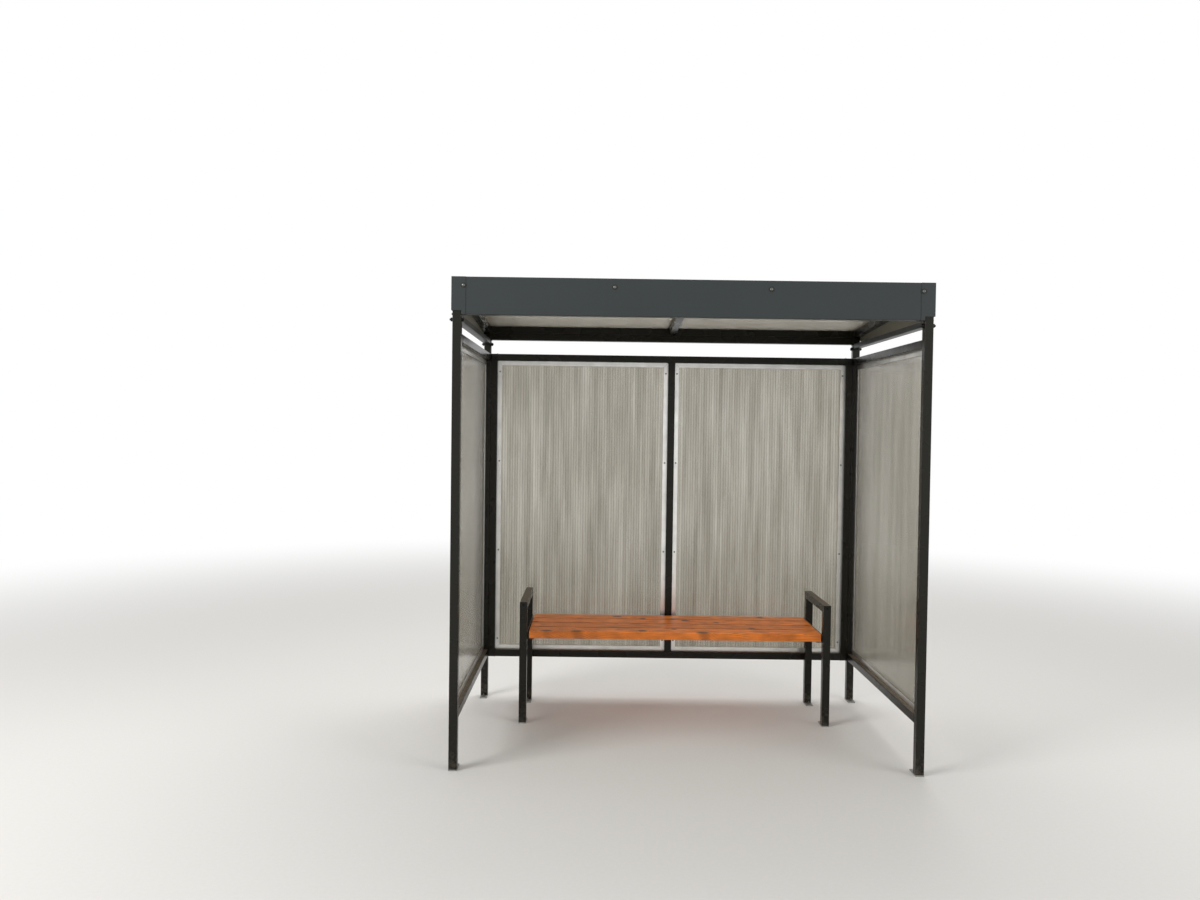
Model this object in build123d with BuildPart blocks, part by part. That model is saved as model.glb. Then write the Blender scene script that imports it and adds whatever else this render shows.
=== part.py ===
from build123d import *
import os
from math import hypot

# Bus shelter of powder coated square steel tube, with clear twin-wall walls and roof,
# a folded sheet fascia round the roof and a free standing bench inside.
# Millimetres. Origin on the ground in the middle, +X to the right, front towards -Y, +Z up.

# Overall size
width = 2200            # over the corner posts, left to right
depth = 1250            # over the corner posts, front to back
height = 2275           # ground to the top edge of the fascia

# Square tube of the whole frame
tube = 40
tube_wall = 2
tube_radius = 3.5

# Foot plates and their anchor holes
plate_thickness = 6
plate_reach = 45        # how far a plate runs inwards past its post
anchor_hole = 10        # diameter

# Wall frames
bottom_rail_low = 238   # underside of the bottom rails
roof_gap = 80           # top rails to the beam under the back of the roof

# Glazing: twin-wall sheet in an aluminium channel
glazing = 10            # thickness of the sheet
channel_wall = 2
channel_leg = 25        # how far a channel covers the sheet

# Roof frame, falling to the back
fascia_upstand = 20     # fascia above the front roof tube
roof_fall = 77          # front roof tube to back roof tube
roof_overhang = 3       # roof frame past the corner posts, each side
panel_joint = 6         # gap between the two roof sheets, over the rafter
panel_clearance = 1     # roof sheet to fascia

# Folded steel fascia
sheet = 2
bend_radius = 3
fascia_drop = 172       # front fascia, top to bottom
side_drop = 198         # side fascia, top to bottom between the posts
fascia_flange = 40      # folded inwards at top and bottom
side_lip = 24           # turned up at the inner edge of the side fascia
notch_rise = 18         # fascia edge over a post above the front fascia's lower edge
corner_lap = 65         # side fascia folded round onto the front and the back
notch_gap = 1           # sheet to post

# Angle along the back edge of the roof sheets
eave_leg = 25

# Bench
bench_length = 1670     # over the end frames
bench_depth = 465
bench_to_wall = 35      # back of the bench to the back wall
armrest_top = 655
vent_hole = 8           # diameter, for the zinc bath, in the front of each front leg
vent_depth = 16         # hole below the top of the armrest
seat_top = 500
plank_thickness = 40
plank_count = 4
plank_gap = 8
plank_end_gap = 12      # plank ends to end frames
plank_round = 4
angle_leg = 38          # seat angle under the planks
angle_thickness = 4
angle_setback = 5       # seat angle behind the front plank's face

# Worked out from the above
half_width = width / 2
half_depth = depth / 2
side_x = half_width - tube / 2
front_y = -half_depth + tube / 2
back_y = half_depth - tube / 2
bore = tube - 2 * tube_wall
bay_depth = depth - 2 * tube
bay_width = width - 2 * tube

roof_front_low = height - fascia_upstand - tube
roof_back_low = roof_front_low - roof_fall
roof_half = half_width + roof_overhang
roof_run = depth - tube
slope = roof_fall / roof_run
slope_length = hypot(1, slope)

top_rail_high = roof_back_low - tube - roof_gap
wall_low = bottom_rail_low + tube
wall_high = top_rail_high - tube
wall_height = wall_high - wall_low
wall_middle = (wall_low + wall_high) / 2
channel_depth = glazing + 2 * channel_wall

os.makedirs("parts", exist_ok=True)


def save(piece, name):
    """Label a finished piece and write it."""
    piece.part.label = name
    export_step(piece.part, f"parts/{name}.step")


def tube_section():
    """Square tube in section, with the rolled corners of drawn steel tube."""
    RectangleRounded(tube, tube, tube_radius)
    RectangleRounded(bore, bore, tube_radius - tube_wall, mode=Mode.SUBTRACT)


def upright(name, x, y, low, high):
    """Tube standing between two heights."""
    with BuildPart() as piece:
        with BuildSketch(Plane.XY.offset(low)):
            with Locations((x, y)):
                tube_section()
        extrude(amount=high - low)
    save(piece, name)


def cross_tube(name, start, end, y, z):
    """Tube lying from left to right."""
    with BuildPart() as piece:
        with BuildSketch(Plane.YZ.offset(start)):
            with Locations((y, z)):
                tube_section()
        extrude(amount=end - start)
    save(piece, name)


def depth_tube(name, x, start, end, z):
    """Tube lying from front to back."""
    with BuildPart() as piece:
        with BuildSketch(Plane.ZX.offset(start)):
            with Locations((z, x)):
                tube_section()
        extrude(amount=end - start)
    save(piece, name)


def standing_leg(name, x, y, inwards, top, mitred=False, vented=False):
    """Tube on a welded foot plate that runs inwards to its anchor hole."""
    plate_y = y + inwards * plate_reach / 2
    hole_y = y + inwards * (tube + plate_reach) / 2
    outer_y = y - inwards * tube / 2
    inner_y = y + inwards * tube / 2
    with BuildPart() as piece:
        with BuildSketch(Plane.XY):
            with Locations((x, plate_y)):
                Rectangle(tube, tube + plate_reach)
            with Locations((x, hole_y)):
                Circle(anchor_hole / 2, mode=Mode.SUBTRACT)
        extrude(amount=plate_thickness)
        with BuildSketch(Plane.XY.offset(plate_thickness)):
            with Locations((x, y)):
                tube_section()
        extrude(amount=top - plate_thickness)
        if mitred:
            with BuildSketch(Plane.YZ.offset(x - tube / 2)):
                with BuildLine():
                    Polyline((outer_y, top), (inner_y, top), (inner_y, top - tube), close=True)
                make_face()
            extrude(amount=tube, mode=Mode.SUBTRACT)
        if vented:
            with BuildSketch(Plane.XZ.offset(-outer_y)):
                with Locations((x, top - vent_depth)):
                    Circle(vent_hole / 2)
            extrude(amount=-tube_wall, mode=Mode.SUBTRACT)
    save(piece, name)


# Corner posts
for side, x in (("left", -side_x), ("right", side_x)):
    standing_leg(f"front_post_{side}", x, front_y, 1, roof_front_low)
    standing_leg(f"back_post_{side}", x, back_y, -1, roof_back_low)

# Side walls: rails between the posts
for side, x in (("left", -side_x), ("right", side_x)):
    depth_tube(f"side_bottom_rail_{side}", x, -bay_depth / 2, bay_depth / 2, wall_low - tube / 2)
    depth_tube(f"side_top_rail_{side}", x, -bay_depth / 2, bay_depth / 2, wall_high + tube / 2)

# Back wall: a frame of its own between the back posts
stile_x = bay_width / 2 - tube / 2
rail_end = bay_width / 2 - tube
for side, x in (("left", -stile_x), ("right", stile_x)):
    upright(f"back_stile_{side}", x, back_y, bottom_rail_low, top_rail_high)
cross_tube("back_bottom_rail", -rail_end, rail_end, back_y, wall_low - tube / 2)
cross_tube("back_top_rail", -rail_end, rail_end, back_y, wall_high + tube / 2)
upright("back_mullion", 0, back_y, wall_low, wall_high)


def glazed_bay(name, plane, bay):
    """Channel ring and sheet that fill a bay; the plane lies on the outer face, facing out."""
    with BuildPart() as ring:
        with BuildSketch(plane):
            Rectangle(bay, wall_height)
            Rectangle(bay - 2 * channel_leg, wall_height - 2 * channel_leg, mode=Mode.SUBTRACT)
        extrude(amount=-channel_depth)
        with BuildSketch(plane.offset(-channel_wall)):
            Rectangle(bay - 2 * channel_wall, wall_height - 2 * channel_wall)
        extrude(amount=-glazing, mode=Mode.SUBTRACT)
    save(ring, f"{name}_channel")
    with BuildPart() as pane:
        with BuildSketch(plane.offset(-channel_wall)):
            Rectangle(bay - 2 * channel_wall, wall_height - 2 * channel_wall)
        extrude(amount=-glazing)
    save(pane, f"{name}_panel")


back_bay = rail_end - tube / 2
back_bay_x = (rail_end + tube / 2) / 2
for side, sign in (("left", -1), ("right", 1)):
    side_plane = Plane(origin=(sign * half_width, 0, wall_middle), x_dir=(0, sign, 0), z_dir=(sign, 0, 0))
    glazed_bay(f"side_{side}", side_plane, bay_depth)
    back_plane = Plane(origin=(sign * back_bay_x, half_depth, wall_middle), x_dir=(-1, 0, 0), z_dir=(0, 1, 0))
    glazed_bay(f"back_{side}", back_plane, back_bay)

# Roof frame: level tubes at front and back, sloping tubes between them
cross_tube("roof_front_tube", -roof_half, roof_half, front_y, roof_front_low + tube / 2)
cross_tube("roof_back_tube", -roof_half, roof_half, back_y, roof_back_low + tube / 2)
cross_tube("back_beam", -bay_width / 2, bay_width / 2, back_y, roof_back_low - tube / 2)

down_slope = (0, 1 / slope_length, -slope / slope_length)
for name, x in (("roof_side_tube_left", -roof_half + tube / 2), ("roof_rafter", 0),
                ("roof_side_tube_right", roof_half - tube / 2)):
    with BuildPart() as rafter:
        with BuildSketch(Plane.ZX.offset(-bay_depth / 2)):
            with Locations((roof_front_low + tube / 2, x)):
                tube_section()
        extrude(amount=bay_depth * slope_length, dir=down_slope)
    save(rafter, name)

# Roof sheets, side by side over the rafter
panel_start = -half_depth + panel_clearance
panel_low = roof_front_low + tube - (panel_start + bay_depth / 2) * slope
panel_width = roof_half - panel_clearance - panel_joint / 2
for side, sign in (("left", -1), ("right", 1)):
    with BuildPart() as roof_panel:
        with BuildSketch(Plane.ZX.offset(panel_start)):
            with Locations((panel_low + glazing / 2, sign * (panel_joint / 2 + panel_width / 2))):
                Rectangle(glazing, panel_width)
        extrude(amount=(half_depth - panel_start) * slope_length, dir=down_slope)
    save(roof_panel, f"roof_panel_{side}")

# Front fascia: channel of folded sheet, notched over the posts and mitred at the top
fascia_low = height - fascia_drop
notch_edge = fascia_low + notch_rise
post_inside = half_width - tube - notch_gap
front_face = -half_depth - sheet
with BuildPart() as front_fascia:
    with BuildSketch(Plane.YZ.offset(-roof_half)):
        with Locations(((front_face - half_depth + fascia_flange) / 2, height - fascia_drop / 2)):
            folded = Rectangle(sheet + fascia_flange, fascia_drop)
        fillet(folded.vertices().group_by(Axis.X)[0], bend_radius)
        with Locations((-half_depth + fascia_flange / 2, height - fascia_drop / 2)):
            Rectangle(fascia_flange, fascia_drop - 2 * sheet, mode=Mode.SUBTRACT)
    extrude(amount=2 * roof_half)
    with BuildSketch(Plane.XZ.offset(-front_face)):
        for sign in (-1, 1):
            with Locations((sign * (post_inside + roof_half) / 2, (fascia_low + notch_edge) / 2)):
                Rectangle(roof_half - post_inside, notch_rise)
    extrude(amount=-sheet - fascia_flange, mode=Mode.SUBTRACT)
    with BuildSketch(Plane.XY.offset(height)):
        for sign in (-1, 1):
            with BuildLine():
                Polyline((sign * roof_half, -half_depth), (sign * roof_half, -half_depth + fascia_flange),
                         (sign * (roof_half - fascia_flange), -half_depth + fascia_flange), close=True)
            make_face()
    extrude(amount=-sheet, mode=Mode.SUBTRACT)
save(front_fascia, "front_fascia")

# Side fascias: deeper channel with a turned up lip, lapped round both corners
side_low = height - side_drop
lap_face = half_depth + 2 * sheet
side_face = roof_half + sheet
for side, sign in (("left", -1), ("right", 1)):
    with BuildPart() as side_fascia:
        with BuildSketch(Plane.ZX.offset(-lap_face)):
            with Locations((height - side_drop / 2, sign * (side_face - (sheet + fascia_flange) / 2))):
                folded = Rectangle(side_drop, sheet + fascia_flange)
            fillet(folded.vertices().group_by(Axis.Y)[-1 if sign > 0 else 0], bend_radius)
            with Locations((height - side_drop / 2, sign * (roof_half - fascia_flange / 2))):
                Rectangle(side_drop - 2 * sheet, fascia_flange, mode=Mode.SUBTRACT)
            with Locations((side_low + sheet + side_lip / 2, sign * (roof_half - fascia_flange + sheet / 2))):
                Rectangle(side_lip, sheet)
        extrude(amount=2 * lap_face)
        # Cut back round the posts
        with BuildSketch(Plane.YZ.offset(sign * (roof_half - fascia_flange))):
            for end in (-1, 1):
                cut_y = end * (lap_face + bay_depth / 2 - notch_gap) / 2
                with Locations((cut_y, (side_low + notch_edge) / 2)):
                    Rectangle(lap_face - bay_depth / 2 + notch_gap, notch_edge - side_low)
        extrude(amount=sign * (fascia_flange + sheet), mode=Mode.SUBTRACT)
        # Mitre of the top flange at the front, plain end at the back
        with BuildSketch(Plane.XY.offset(height)):
            with BuildLine():
                Polyline((sign * roof_half, -lap_face), (sign * roof_half, -half_depth),
                         (sign * (roof_half - fascia_flange), -half_depth + fascia_flange),
                         (sign * (roof_half - fascia_flange), -lap_face), close=True)
            make_face()
            with Locations((sign * (roof_half - fascia_flange / 2), (lap_face + half_depth) / 2)):
                Rectangle(fascia_flange, lap_face - half_depth)
        extrude(amount=-sheet, mode=Mode.SUBTRACT)
        # Laps folded round onto the front and the back
        for face, inwards in ((-lap_face, 1), (lap_face, -1)):
            with BuildSketch(Plane.ZX.offset(face)):
                lap_x = side_face - corner_lap / 2
                with Locations(((height + notch_edge) / 2, sign * lap_x)):
                    Rectangle(height - notch_edge, corner_lap)
                lap_inside = side_face - corner_lap
                with Locations(((notch_edge + fascia_low) / 2, sign * (lap_inside + post_inside) / 2)):
                    Rectangle(notch_rise, post_inside - lap_inside)
            extrude(amount=inwards * sheet)
    save(side_fascia, f"side_fascia_{side}")

# Angle that closes the back edge of the roof sheets
eave_top = panel_low + glazing - (half_depth - panel_start) * slope
eave_low = roof_back_low + tube - eave_leg + glazing
with BuildPart() as eave_angle:
    with BuildSketch(Plane.YZ.offset(-roof_half)):
        with BuildLine():
            Polyline((half_depth, eave_low), (half_depth + sheet, eave_low),
                     (half_depth + sheet, eave_top + sheet),
                     (half_depth - eave_leg, eave_top + sheet + eave_leg * slope),
                     (half_depth - eave_leg, eave_top + eave_leg * slope),
                     (half_depth, eave_top), close=True)
        make_face()
    extrude(amount=2 * roof_half)
save(eave_angle, "roof_eave_angle")

# Bench end frames: legs and armrest mitred together at their corners
bench_back = half_depth - tube - bench_to_wall
bench_front = bench_back - bench_depth
bench_x = bench_length / 2 - tube / 2
armrest_low = armrest_top - tube
for side, x in (("left", -bench_x), ("right", bench_x)):
    standing_leg(f"bench_front_leg_{side}", x, bench_front + tube / 2, 1, armrest_top,
                 mitred=True, vented=True)
    standing_leg(f"bench_back_leg_{side}", x, bench_back - tube / 2, -1, armrest_top, mitred=True)
    with BuildPart() as armrest:
        with BuildSketch(Plane.ZX.offset(bench_front)):
            with Locations((armrest_top - tube / 2, x)):
                tube_section()
        extrude(amount=bench_depth)
        with BuildSketch(Plane.YZ.offset(x - tube / 2)):
            for outer_y, inner_y in ((bench_front, bench_front + tube), (bench_back, bench_back - tube)):
                with BuildLine():
                    Polyline((outer_y, armrest_top), (inner_y, armrest_low),
                             (outer_y, armrest_low), close=True)
                make_face()
        extrude(amount=tube, mode=Mode.SUBTRACT)
    save(armrest, f"bench_armrest_{side}")

# Seat angles welded to the legs, with the planks on them
seat_half = bench_length / 2 - tube
seat_low = seat_top - plank_thickness
for side, sign in (("left", -1), ("right", 1)):
    with BuildPart() as seat_angle:
        with BuildSketch(Plane.ZX.offset(bench_front + angle_setback)):
            with Locations((seat_low - angle_thickness / 2, sign * (seat_half - angle_leg / 2))):
                Rectangle(angle_thickness, angle_leg)
            upstand_z = seat_low - angle_thickness + angle_leg / 2
            with Locations((upstand_z, sign * (seat_half - angle_thickness / 2))):
                Rectangle(angle_leg, angle_thickness)
        extrude(amount=bench_depth - 2 * angle_setback)
    save(seat_angle, f"bench_seat_angle_{side}")

plank_width = (bench_depth - (plank_count - 1) * plank_gap) / plank_count
plank_half = seat_half - plank_end_gap
for number in range(plank_count):
    plank_y = bench_front + plank_width / 2 + number * (plank_width + plank_gap)
    with BuildPart() as plank:
        with BuildSketch(Plane.YZ.offset(-plank_half)):
            with Locations((plank_y, seat_top - plank_thickness / 2)):
                RectangleRounded(plank_width, plank_thickness, plank_round)
        extrude(amount=2 * plank_half)
    save(plank, f"bench_plank_{number + 1}")
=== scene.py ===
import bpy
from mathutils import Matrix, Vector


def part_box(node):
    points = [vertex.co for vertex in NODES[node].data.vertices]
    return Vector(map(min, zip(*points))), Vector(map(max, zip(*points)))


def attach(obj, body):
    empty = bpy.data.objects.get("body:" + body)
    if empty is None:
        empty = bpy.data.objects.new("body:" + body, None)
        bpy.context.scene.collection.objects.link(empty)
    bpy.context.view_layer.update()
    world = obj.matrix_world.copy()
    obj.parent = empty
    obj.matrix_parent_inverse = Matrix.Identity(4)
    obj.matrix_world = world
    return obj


bl_info = {
    "name": "Bus shelter finish",
    "version": (1, 0, 0),
    "blender": (4, 5, 0),
    "location": "View3D > Sidebar > Bus shelter",
    "description": "Finishes, fasteners, weld beads and stage for a small bus shelter with a bench",
    "category": "Object",
}

from math import ceil, cos, pi, radians

import bmesh
import bpy
from bpy.props import FloatProperty, FloatVectorProperty, IntProperty, PointerProperty
from mathutils import Matrix, Vector

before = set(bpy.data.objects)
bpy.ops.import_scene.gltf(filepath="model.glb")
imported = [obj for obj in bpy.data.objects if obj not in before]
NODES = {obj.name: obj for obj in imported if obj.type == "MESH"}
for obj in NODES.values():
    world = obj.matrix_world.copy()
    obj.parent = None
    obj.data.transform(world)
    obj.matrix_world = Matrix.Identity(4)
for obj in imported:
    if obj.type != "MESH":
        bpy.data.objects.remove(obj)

MM = 0.001
BODY = "root"

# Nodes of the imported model, by what they are made of
CHANNELS = [name for name in NODES if name.endswith("_channel")]
WALL_SHEETS = [name for name in NODES if name.endswith("_panel")]
ROOF_SHEETS = ["roof_panel_left", "roof_panel_right"]
PLANKS = [name for name in NODES if name.startswith("bench_plank")]
EAVE = "roof_eave_angle"
FRONT_FASCIA = ["front_fascia"]
SIDE_FASCIAS = ["side_fascia_left", "side_fascia_right"]
NOT_TUBES = CHANNELS + WALL_SHEETS + ROOF_SHEETS + PLANKS + [EAVE] + FRONT_FASCIA + SIDE_FASCIAS
TUBES = [name for name in NODES if name not in NOT_TUBES]

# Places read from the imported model, in metres
POST_LOW, POST_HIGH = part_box("front_post_right")
BACK_POST_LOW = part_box("back_post_right")[0]
STILE_LOW, STILE_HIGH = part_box("back_stile_right")
RAIL_LOW, RAIL_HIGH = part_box("side_bottom_rail_right")
TOP_RAIL_LOW, TOP_RAIL_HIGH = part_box("side_top_rail_right")
SIDE_RING_LOW, SIDE_RING_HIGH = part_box("side_right_channel")
BACK_RING_LOW, BACK_RING_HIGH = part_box("back_right_channel")
ROOF_TUBE_LOW, ROOF_TUBE_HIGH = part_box("roof_front_tube")
ROOF_BACK_LOW, ROOF_BACK_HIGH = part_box("roof_back_tube")
RAFTER_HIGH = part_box("roof_rafter")[1]
ROOF_SHEET_LOW, ROOF_SHEET_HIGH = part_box("roof_panel_right")
EAVE_LOW, EAVE_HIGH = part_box(EAVE)
FASCIA_LOW, FASCIA_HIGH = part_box("front_fascia")
SIDE_FASCIA_LOW, SIDE_FASCIA_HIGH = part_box("side_fascia_right")
LEG_LOW, LEG_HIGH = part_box("bench_front_leg_right")
BACK_LEG_LOW, BACK_LEG_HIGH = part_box("bench_back_leg_right")
SEAT_ANGLE_LOW, SEAT_ANGLE_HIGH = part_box("bench_seat_angle_right")
TUBE = RAIL_HIGH.z - RAIL_LOW.z
SIDE_X = (POST_LOW.x + POST_HIGH.x) / 2
FRONT_Y = POST_LOW.y + TUBE / 2
BACK_Y = -FRONT_Y
LEG_X = (LEG_LOW.x + LEG_HIGH.x) / 2
ROOF_SLOPE = (ROOF_TUBE_HIGH.z - ROOF_BACK_HIGH.z) / (ROOF_BACK_LOW.y - ROOF_TUBE_LOW.y)

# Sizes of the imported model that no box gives
PLATE = 6 * MM
CHANNEL_LEG = 25 * MM
TUBE_CORNER = 3.5 * MM

# Places of the fasteners, in metres or as shares of a length. Those that show follow the photograph,
# and the hidden ones are guessed
LAP_BOLT_X = 1.05
FRONT_BOLTS_X = (-LAP_BOLT_X, -0.36, 0.355, LAP_BOLT_X)
SIDE_BOLTS_Y = (-0.42, 0.0, 0.42)
FRONT_STUD_Z, BACK_STUD_Z = 2.081, 2.074
POST_SCREW_Z = 2.106
WALL_BOLTS_Z = (0.27, 0.8, 1.4, 1.95)
PLUG_Z = 0.165
RIVET_TO_CORNER = 0.062
STRIP_SCREW_SHARES = (0.06, 0.28, 0.5, 0.72, 0.94)
EAVE_SCREW_X, EAVE_SCREWS = 1.0, 8
PLANK_SCREW_SHARES = (0.25, 0.75)

# Cover strip over the joint of the roof sheets: half its width, its gap to the sheets, the height of
# its edges, the rise to its crown, the share of its width that is crown, and how far behind the face
# of the fascia it starts
STRIP_HALF = 27 * MM
STRIP_LIFT = 0.2 * MM
STRIP_EDGE = 2.5 * MM
STRIP_RISE = 1.5 * MM
STRIP_CROWN = 0.45
STRIP_INSET = 3 * MM

# Sizes of the fasteners, in millimetres
WASHER = 1.6
THREAD_PITCH = 1.25
# How far the black sealing washers reach past a fascia bolt head: a washer, and a dark ring of painted
# shade round the head
SEAL_AND_SHADE_OVERHANG = 4.5
SEAL_HEIGHT = 1.8

# Edges that turn more than this stay sharp
SHARP_ANGLE = radians(32)

# Growth rings of the planks: depth of the pith below the planks, and the width of one ring
PITH_DEPTH = 0.05
RING_WIDTH = 0.006

# The camera of the photograph, fitted to the solids: in front, left of the middle, at eye height
CAMERA_PLACE = (-0.4301, -4.9287, 1.596)
CAMERA_TURN, CAMERA_PITCH, CAMERA_ROLL = -0.0028, -0.0242, 0.0132
CAMERA_LENS, CAMERA_SENSOR = 28.2, 36.0

# Radius of the floor, and the distances from its middle between which it runs out to white
FLOOR_RADIUS = 40.0
FADE_START, FADE_END = 3.0, 9.0


def linear(hex_value):
    """Linear colour of an sRGB hex value."""
    channels = [int(hex_value[i:i + 2], 16) / 255 for i in (1, 3, 5)]
    return tuple(c / 12.92 if c <= 0.04045 else ((c + 0.055) / 1.055) ** 2.4 for c in channels)


def paint(name, description, hex_value):
    """Colour that a user can change."""
    return FloatVectorProperty(name=name, description=description, subtype="COLOR", size=3,
                               min=0, max=1, default=linear(hex_value))


def measure(name, description, metres, **limits):
    """Size in metres that a user can change."""
    return FloatProperty(name=name, description=description, unit="LENGTH", default=metres, **limits)


class ShelterFinishes(bpy.types.PropertyGroup):
    coat: paint("Powder coat", "Colour of the coated tubes", "#1B1A14")
    fascia: paint("Fascia", "Colour of the coated sheet round the roof", "#373C3D")
    back_coat: paint(
        "Back of the fascia", "Protective lacquer on the inner side of the folded sheet", "#8C8A7C")
    zinc_edge: paint("Foot plates", "Scuffed, dusty zinc of the foot plates", "#8F8F8A")
    # On faces turned up this colour also stands in for light from above: painted light
    dust: paint("Dust", "Sand and dust near the ground and on ledges", "#857A6C")
    aluminium: paint("Aluminium", "Mill finish of the glazing channels", "#EFEEEA")
    sheet: paint("Wall sheet", "Milky tint of the wall sheets", "#968F7C")
    roof_sheet: paint("Roof sheet", "Milky tint of the roof sheets, paler with dust", "#D3CEBF")
    sheet_veil: FloatProperty(
        name="Sheet veil", description="Share of the light that one skin of the sheet holds back",
        subtype="FACTOR", min=0, max=1, default=0.71)
    roof_veil: FloatProperty(
        name="Roof veil", description="The same share in the roof sheets, which dust has dulled",
        subtype="FACTOR", min=0, max=1, default=0.8)
    cell: measure(
        "Cell width", "Distance between the webs of the twin-wall sheet, 10 mm in the real one",
        0.015, min=0.004, max=0.04)
    stain: paint("Wood stain", "Middle tone of the stained planks", "#DC7A26")
    stain_dark: paint("Late wood", "Dark growth rings of the stained planks", "#A04E22")
    knot: paint("Knots", "Knots in the stained planks", "#35180D")
    zinc: paint("Zinc plate", "Bright bolts, rivets and screws", "#6E706D")
    # Zinc darkened as painted shade, for what goes through the posts
    black_zinc: paint("Black zinc", "Studs, nuts and washers through the posts", "#2B2B2A")


class ShelterFasteners(bpy.types.PropertyGroup):
    fascia_head: measure("Fascia bolt head", "Diameter of the domed heads on the fascia", 0.0155)
    nut: measure("Nut", "Across the flats of the nuts through the posts", 0.017)
    anchor_nut: measure("Anchor nut", "Across the flats of the nuts on the ground anchors", 0.013)
    rivet_head: measure("Rivet head", "Diameter of the blind rivets in the glazing channels", 0.0095)
    rivet_count: IntProperty(
        name="Rivets", description="Rivets in each upright leg of a glazing channel",
        min=2, max=12, default=4)
    bead: measure("Weld bead", "Radius of the weld beads", 0.0028)


class ShelterStage(bpy.types.PropertyGroup):
    floor: paint("Floor", "Colour of the plain floor", "#DAD8D4")
    key_power: FloatProperty(
        name="Key light", description="Power of the large lamp in front, on the left",
        unit="POWER", default=230)
    fill_power: FloatProperty(
        name="Fill light", description="Power of the lamp in front, on the right",
        unit="POWER", default=90)
    top_power: FloatProperty(
        name="Top light", description="Power of the lamp over the back of the roof",
        unit="POWER", default=160)
    sky: FloatProperty(
        name="Sky", description="Strength of the even light from all round",
        min=0, max=2, default=0.55)


def result(node):
    """The first output that a node has with its settings."""
    return next(output for output in node.outputs if output.enabled)


def add_node(tree, kind, inputs=None, **settings):
    """Add one node. Settings are its properties; inputs are values, or the nodes and sockets that
    link to it."""
    node = tree.nodes.new(kind)
    for name, value in settings.items():
        setattr(node, name, value)
    for socket, value in (inputs or {}).items():
        if isinstance(value, bpy.types.Node):
            value = result(value)
        if isinstance(value, bpy.types.NodeSocket):
            tree.links.new(value, node.inputs[socket])
        else:
            node.inputs[socket].default_value = value
    return node


# Inputs of the Mix node beside its factor, 0: two colours, or two numbers
MIX_A, MIX_B = 6, 7
NUMBER_A, NUMBER_B = 2, 3


def new_material(name, **values):
    """Material with one Principled shader; the values go to the shader's own sockets."""
    material = bpy.data.materials.new(name)
    material.use_nodes = True
    tree = material.node_tree
    tree.nodes.clear()
    shader = add_node(tree, "ShaderNodeBsdfPrincipled", values)
    add_node(tree, "ShaderNodeOutputMaterial", {"Surface": shader})
    place = add_node(tree, "ShaderNodeTexCoord").outputs["Object"]
    return material, tree, shader, place


def dress(tree, shader, patterns):
    """Link what patterns give to sockets of the shader."""
    for socket, node in patterns.items():
        tree.links.new(result(node), shader.inputs[socket])


def rgba(colour, level=1.0):
    """Four channels of a colour, made lighter or darker."""
    return (colour[0] * level, colour[1] * level, colour[2] * level, 1.0)


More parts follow.
